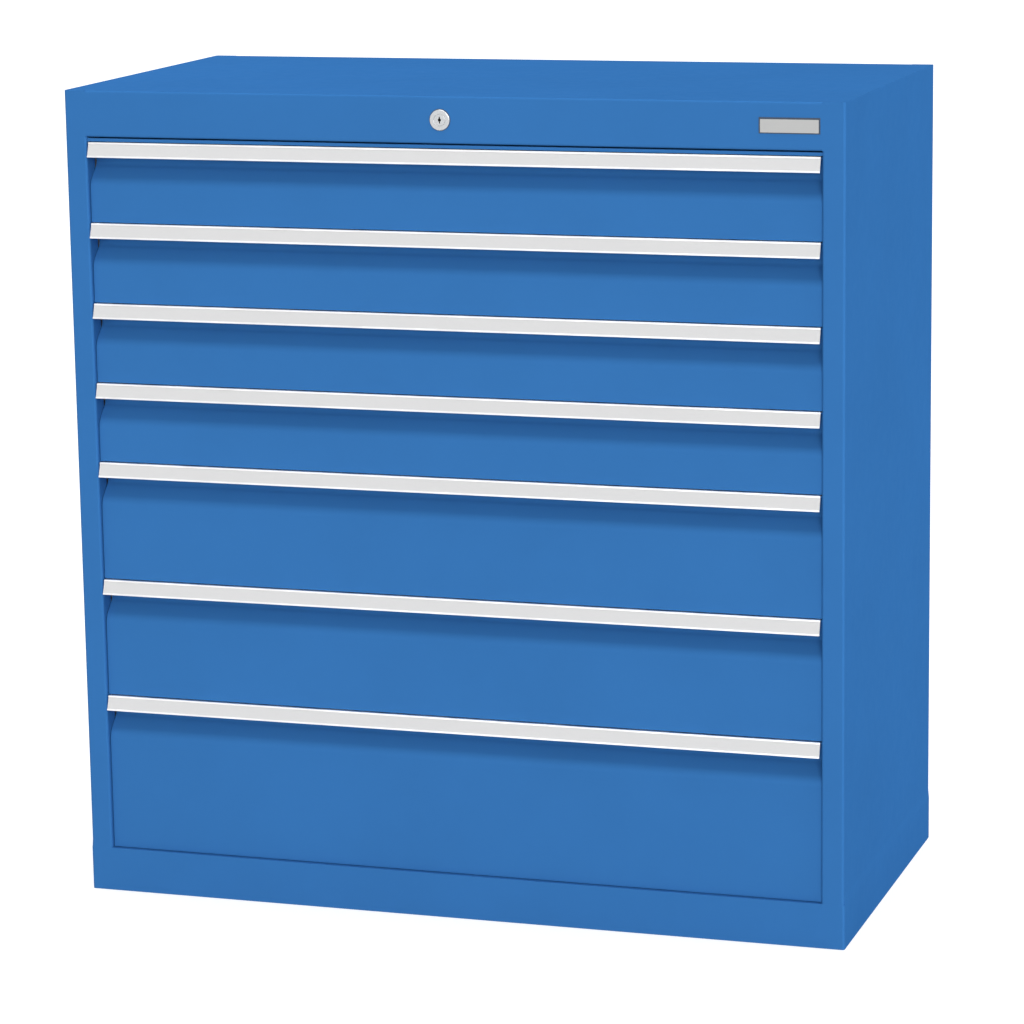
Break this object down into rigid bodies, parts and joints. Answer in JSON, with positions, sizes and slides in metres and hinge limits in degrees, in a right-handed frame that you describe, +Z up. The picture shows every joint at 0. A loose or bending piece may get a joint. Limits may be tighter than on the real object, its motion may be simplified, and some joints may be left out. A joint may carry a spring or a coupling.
{
  "type": "drawer cabinet",
  "caption": "Blue sheet-steel cabinet with full-width drawers of three heights, sloping light grips, a cylinder lock and a plinth.",
  "frame": {"origin": "on the floor, in the middle of the cabinet's width and of its overall depth with the grips", "axes": "+X to the right seen from the front, +Y to the back, +Z up; the drawers open towards -Y"},
  "size_m": [0.982, 0.505, 1.019],
  "materials": {
    "blue_powder_coat": "satin",
    "anodised_grip": "satin",
    "label_plastic": "matte",
    "zinc_steel": "satin",
    "grey_tray_coat": "satin",
    "lock_chrome": "satin",
    "nylon": "matte",
    "badge_plastic": "satin"
  },
  "bodies": {
    "cabinet": {"side_panel_right": "blue_powder_coat", "side_panel_left": "blue_powder_coat", "top_panel": "blue_powder_coat", "back_panel": "blue_powder_coat", "bottom_panel": "blue_powder_coat", "top_rail": "blue_powder_coat", "plinth": "blue_powder_coat", "front_uprights": "zinc_steel", "rear_uprights": "zinc_steel", "cabinet_rails": "zinc_steel", "lock_bar_guides": "nylon", "lock_shaft_bracket": "zinc_steel", "badge_plate": "badge_plastic", "lock_housing": "lock_chrome", "lock_nut": "zinc_steel"},
    "lock": {"lock_plug": "lock_chrome", "lock_shaft": "zinc_steel"},
    "locking_bar": {"lock_bar": "zinc_steel"},
    "drawer_7": {"drawer_7_front": "blue_powder_coat", "drawer_7_grip": "anodised_grip", "drawer_7_label_strip": "label_plastic", "drawer_7_tray": "grey_tray_coat", "drawer_7_rails": "zinc_steel"},
    "slide_7": {"drawer_7_middle_rails": "zinc_steel"},
    "drawer_6": {"drawer_6_front": "blue_powder_coat", "drawer_6_grip": "anodised_grip", "drawer_6_label_strip": "label_plastic", "drawer_6_tray": "grey_tray_coat", "drawer_6_rails": "zinc_steel"},
    "slide_6": {"drawer_6_middle_rails": "zinc_steel"},
    "drawer_5": {"drawer_5_front": "blue_powder_coat", "drawer_5_grip": "anodised_grip", "drawer_5_label_strip": "label_plastic", "drawer_5_tray": "grey_tray_coat", "drawer_5_rails": "zinc_steel"},
    "slide_5": {"drawer_5_middle_rails": "zinc_steel"},
    "drawer_4": {"drawer_4_front": "blue_powder_coat", "drawer_4_grip": "anodised_grip", "drawer_4_label_strip": "label_plastic", "drawer_4_tray": "grey_tray_coat", "drawer_4_rails": "zinc_steel"},
    "slide_4": {"drawer_4_middle_rails": "zinc_steel"},
    "drawer_3": {"drawer_3_front": "blue_powder_coat", "drawer_3_grip": "anodised_grip", "drawer_3_label_strip": "label_plastic", "drawer_3_tray": "grey_tray_coat", "drawer_3_rails": "zinc_steel"},
    "slide_3": {"drawer_3_middle_rails": "zinc_steel"},
    "drawer_2": {"drawer_2_front": "blue_powder_coat", "drawer_2_grip": "anodised_grip", "drawer_2_label_strip": "label_plastic", "drawer_2_tray": "grey_tray_coat", "drawer_2_rails": "zinc_steel"},
    "slide_2": {"drawer_2_middle_rails": "zinc_steel"},
    "drawer_1": {"drawer_1_front": "blue_powder_coat", "drawer_1_grip": "anodised_grip", "drawer_1_label_strip": "label_plastic", "drawer_1_tray": "grey_tray_coat", "drawer_1_rails": "zinc_steel"},
    "slide_1": {"drawer_1_middle_rails": "zinc_steel"}
  },
  "joints": [
    {"name": "lock_turn", "type": "hinge", "parent": "cabinet", "child": "lock", "pos_m": [-0.0035, -0.2475, 0.9906], "axis": [0, 1, 0], "range_deg": [0, 90]},
    {"name": "bar_lift", "type": "slide", "parent": "cabinet", "child": "locking_bar", "axis": [0, 0, 1], "range_m": [0, 0.01979]},
    {"name": "drawer_7_slide", "type": "slide", "parent": "cabinet", "child": "drawer_7", "axis": [0, -1, 0], "range_m": [0, 0.45]},
    {"name": "drawer_7_middle_slide", "type": "slide", "parent": "cabinet", "child": "slide_7", "axis": [0, -1, 0], "range_m": [0, 0.225]},
    {"name": "drawer_6_slide", "type": "slide", "parent": "cabinet", "child": "drawer_6", "axis": [0, -1, 0], "range_m": [0, 0.45]},
    {"name": "drawer_6_middle_slide", "type": "slide", "parent": "cabinet", "child": "slide_6", "axis": [0, -1, 0], "range_m": [0, 0.225]},
    {"name": "drawer_5_slide", "type": "slide", "parent": "cabinet", "child": "drawer_5", "axis": [0, -1, 0], "range_m": [0, 0.45]},
    {"name": "drawer_5_middle_slide", "type": "slide", "parent": "cabinet", "child": "slide_5", "axis": [0, -1, 0], "range_m": [0, 0.225]},
    {"name": "drawer_4_slide", "type": "slide", "parent": "cabinet", "child": "drawer_4", "axis": [0, -1, 0], "range_m": [0, 0.45]},
    {"name": "drawer_4_middle_slide", "type": "slide", "parent": "cabinet", "child": "slide_4", "axis": [0, -1, 0], "range_m": [0, 0.225]},
    {"name": "drawer_3_slide", "type": "slide", "parent": "cabinet", "child": "drawer_3", "axis": [0, -1, 0], "range_m": [0, 0.45]},
    {"name": "drawer_3_middle_slide", "type": "slide", "parent": "cabinet", "child": "slide_3", "axis": [0, -1, 0], "range_m": [0, 0.225]},
    {"name": "drawer_2_slide", "type": "slide", "parent": "cabinet", "child": "drawer_2", "axis": [0, -1, 0], "range_m": [0, 0.45]},
    {"name": "drawer_2_middle_slide", "type": "slide", "parent": "cabinet", "child": "slide_2", "axis": [0, -1, 0], "range_m": [0, 0.225]},
    {"name": "drawer_1_slide", "type": "slide", "parent": "cabinet", "child": "drawer_1", "axis": [0, -1, 0], "range_m": [0, 0.45]},
    {"name": "drawer_1_middle_slide", "type": "slide", "parent": "cabinet", "child": "slide_1", "axis": [0, -1, 0], "range_m": [0, 0.225]}
  ],
  "couplings": [
    {"joint": "lock_turn", "follows": "bar_lift", "rad_per_m": 79.365},
    {"joint": "drawer_7_middle_slide", "follows": "drawer_7_slide", "ratio": 0.5},
    {"joint": "drawer_6_middle_slide", "follows": "drawer_6_slide", "ratio": 0.5},
    {"joint": "drawer_5_middle_slide", "follows": "drawer_5_slide", "ratio": 0.5},
    {"joint": "drawer_4_middle_slide", "follows": "drawer_4_slide", "ratio": 0.5},
    {"joint": "drawer_3_middle_slide", "follows": "drawer_3_slide", "ratio": 0.5},
    {"joint": "drawer_2_middle_slide", "follows": "drawer_2_slide", "ratio": 0.5},
    {"joint": "drawer_1_middle_slide", "follows": "drawer_1_slide", "ratio": 0.5}
  ]
}
